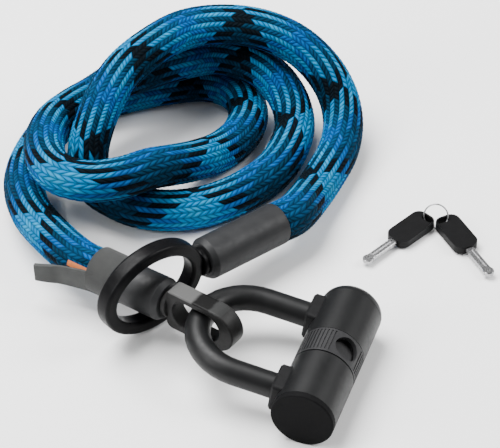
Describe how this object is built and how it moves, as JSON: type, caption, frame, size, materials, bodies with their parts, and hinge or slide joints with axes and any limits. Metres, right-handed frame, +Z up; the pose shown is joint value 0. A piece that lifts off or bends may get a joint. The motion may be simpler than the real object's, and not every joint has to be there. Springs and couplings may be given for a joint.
{
  "type": "textile cable lock",
  "caption": "Coiled braided rope with two steel eyes, closed by a small U-shaped shackle with a cylindrical key lock, and two loose keys on a ring.",
  "frame": {"origin": "the middle of the bounding box's underside, on the floor that the lock lies on", "axes": "+Z up, +X from the coil towards the keys, -Y towards the lock barrel's near end and the viewer"},
  "size_m": [0.2742, 0.3039, 0.0737],
  "materials": {
    "braided_cover": "matte",
    "fibre": "matte",
    "sleeve_grey": "matte",
    "forged_black": "satin",
    "zinc_steel": "satin",
    "satin_black": "satin",
    "bush_black": "matte",
    "brass": "satin",
    "woven_grey": "matte",
    "key_steel": "satin",
    "bow_black": "satin"
  },
  "bodies": {
    "rope_set": {"rope": "braided_cover", "large_end_sleeve": "sleeve_grey", "large_end_ferrule": "zinc_steel", "large_end_core": "fibre", "large_eye": "forged_black", "small_end_sleeve": "sleeve_grey", "small_end_ferrule": "zinc_steel", "small_end_core": "fibre", "small_eye": "forged_black", "label": "woven_grey"},
    "shackle_body": {"shackle": "satin_black"},
    "barrel": {"barrel_core": "zinc_steel", "barrel_near_shell": "satin_black", "barrel_far_shell": "satin_black", "near_bush": "bush_black", "far_bush": "bush_black", "near_shell_pin": "zinc_steel", "far_shell_pin": "zinc_steel", "near_end_cap": "satin_black", "far_end_cap": "satin_black", "blank_pad": "satin_black", "cylinder_housing": "brass"},
    "cover": {"dust_cover": "satin_black"},
    "plug": {"cylinder_plug": "brass", "bolt_cam": "zinc_steel"},
    "bolt_near": {"near_bolt": "zinc_steel"},
    "bolt_far": {"far_bolt": "zinc_steel"},
    "ring": {"key_ring": "key_steel"},
    "key_one": {"key_one_bow": "bow_black", "key_one_blade": "key_steel"},
    "key_two": {"key_two_bow": "bow_black", "key_two_blade": "key_steel"}
  },
  "joints": [
    {"name": "shackle_swing", "type": "hinge", "parent": "rope_set", "child": "shackle_body", "pos_m": [-0.02429, -0.08094, 0.02633], "axis": [-0.3206, -0.9472, 0], "range_deg": [-50, 110]},
    {"name": "barrel_slide", "type": "slide", "parent": "shackle_body", "child": "barrel", "axis": [0.9391, -0.3179, -0.1305], "range_m": [0, 0.032]},
    {"name": "cover_turn", "type": "hinge", "parent": "barrel", "child": "cover", "pos_m": [0.04286, -0.10367, 0.017], "axis": [0.3206, 0.9472, 0], "range_deg": [0, 59.5]},
    {"name": "plug_turn", "type": "hinge", "parent": "barrel", "child": "plug", "pos_m": [0.0427, -0.10414, 0.017], "axis": [0.9391, -0.3179, -0.1305], "range_deg": [0, 90]},
    {"name": "near_bolt_slide", "type": "slide", "parent": "barrel", "child": "bolt_near", "axis": [-0.3206, -0.9472, 0], "range_m": [0, 0.004]},
    {"name": "far_bolt_slide", "type": "slide", "parent": "barrel", "child": "bolt_far", "axis": [0.3206, 0.9472, 0], "range_m": [0, 0.004]},
    {"name": "key_set_lift", "type": "slide", "parent": "rope_set", "child": "ring", "axis": [0, 0, 1], "range_m": [0, 0.15]},
    {"name": "key_one_turn", "type": "hinge", "parent": "ring", "child": "key_one", "pos_m": [0.10658, 0.0255, 0.00645], "axis": [0.1415, 0.864, -0.4833], "range_deg": [0, 50]},
    {"name": "key_two_turn", "type": "hinge", "parent": "ring", "child": "key_two", "pos_m": [0.10658, 0.0255, 0.00645], "axis": [-0.1415, -0.864, 0.4833], "range_deg": [0, 50]}
  ],
  "couplings": [
    {"joint": "plug_turn", "follows": "near_bolt_slide", "rad_per_m": 392.7},
    {"joint": "far_bolt_slide", "follows": "near_bolt_slide", "ratio": 1}
  ]
}
